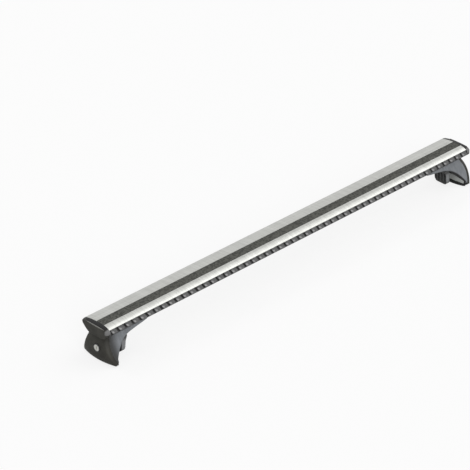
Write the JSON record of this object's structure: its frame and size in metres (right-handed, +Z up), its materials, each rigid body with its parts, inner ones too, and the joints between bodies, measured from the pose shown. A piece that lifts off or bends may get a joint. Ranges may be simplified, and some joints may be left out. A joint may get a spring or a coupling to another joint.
{
  "type": "roof rack crossbar",
  "caption": "Wing-profile roof crossbar with rubber top strip, toothed front edge strip and lockable clamping feet for side rails.",
  "frame": {"origin": "middle of the whole crossbar in plan, on the surface its feet stand on", "axes": "X runs along the bar, Y from the toothed front edge to the thin rear edge, Z up"},
  "size_m": [1.105, 0.0988, 0.0897],
  "materials": {
    "aluminium": "satin anodised, fine lines along the extrusion",
    "strip_rubber": "matt grey-black rubber",
    "tooth_plastic": "dark grey moulded plastic, slight sheen",
    "cap_plastic": "fine-grained dark plastic",
    "body_plastic": "blue-grey moulded plastic, satin",
    "shoe_plastic": "light grey moulded plastic, satin",
    "rubber": "matt black rubber",
    "jaw_metal": "black coated die casting",
    "lock_metal": "satin nickel lock face",
    "lock_ring": "black moulded ring",
    "zinc_steel": "zinc-plated steel"
  },
  "bodies": {
    "bar_and_feet": {"crossbar_extrusion": "aluminium", "top_rubber_strip": "strip_rubber", "toothed_edge_strip": "tooth_plastic", "end_cap_left": "cap_plastic", "foot_body_left": "body_plastic", "bolt_washer_left": "zinc_steel", "rail_shoe_left": "shoe_plastic", "rail_lip_left": "rubber", "rail_pad_left": "rubber", "nut_plate_left": "zinc_steel", "foot_screw_inner_left": "zinc_steel", "foot_screw_outer_left": "zinc_steel", "end_cap_right": "cap_plastic", "foot_body_right": "body_plastic", "bolt_washer_right": "zinc_steel", "rail_shoe_right": "shoe_plastic", "rail_lip_right": "rubber", "rail_pad_right": "rubber", "nut_plate_right": "zinc_steel", "foot_screw_inner_right": "zinc_steel", "foot_screw_outer_right": "zinc_steel"},
    "cover_left": {"foot_cover_left": "cap_plastic", "lock_housing_left": "lock_ring"},
    "lock_left": {"lock_cylinder_left": "lock_metal", "lock_cam_left": "zinc_steel"},
    "jaw_left": {"clamp_jaw_left": "jaw_metal", "jaw_pad_left": "rubber", "clamp_nut_left": "zinc_steel"},
    "bolt_left": {"clamp_bolt_left": "zinc_steel"},
    "cover_right": {"foot_cover_right": "cap_plastic", "lock_housing_right": "lock_ring"},
    "lock_right": {"lock_cylinder_right": "lock_metal", "lock_cam_right": "zinc_steel"},
    "jaw_right": {"clamp_jaw_right": "jaw_metal", "jaw_pad_right": "rubber", "clamp_nut_right": "zinc_steel"},
    "bolt_right": {"clamp_bolt_right": "zinc_steel"}
  },
  "joints": [
    {"name": "cover_slide_left", "type": "slide", "parent": "bar_and_feet", "child": "cover_left", "axis": [-1, 0, 0], "range_m": [0, 0.014]},
    {"name": "lock_turn_left", "type": "hinge", "parent": "cover_left", "child": "lock_left", "pos_m": [-0.545, -0.0045, 0.035], "axis": [1, 0, 0], "range_deg": [-90, 0]},
    {"name": "jaw_slide_left", "type": "slide", "parent": "bar_and_feet", "child": "jaw_left", "axis": [-1, 0, 0], "range_m": [0, 0.007]},
    {"name": "bolt_turn_left", "type": "hinge", "parent": "bar_and_feet", "child": "bolt_left", "pos_m": [-0.505, -0.0045, 0.0515], "axis": [-1, 0, 0], "range_deg": [0, 2018]},
    {"name": "cover_slide_right", "type": "slide", "parent": "bar_and_feet", "child": "cover_right", "axis": [1, 0, 0], "range_m": [0, 0.014]},
    {"name": "lock_turn_right", "type": "hinge", "parent": "cover_right", "child": "lock_right", "pos_m": [0.545, -0.0045, 0.035], "axis": [1, 0, 0], "range_deg": [-90, 0]},
    {"name": "jaw_slide_right", "type": "slide", "parent": "bar_and_feet", "child": "jaw_right", "axis": [1, 0, 0], "range_m": [0, 0.007]},
    {"name": "bolt_turn_right", "type": "hinge", "parent": "bar_and_feet", "child": "bolt_right", "pos_m": [0.505, -0.0045, 0.0515], "axis": [1, 0, 0], "range_deg": [0, 2018]}
  ],
  "couplings": [
    {"joint": "bolt_turn_left", "follows": "jaw_slide_left", "rad_per_m": 5026.6},
    {"joint": "bolt_turn_right", "follows": "jaw_slide_right", "rad_per_m": 5026.6}
  ]
}
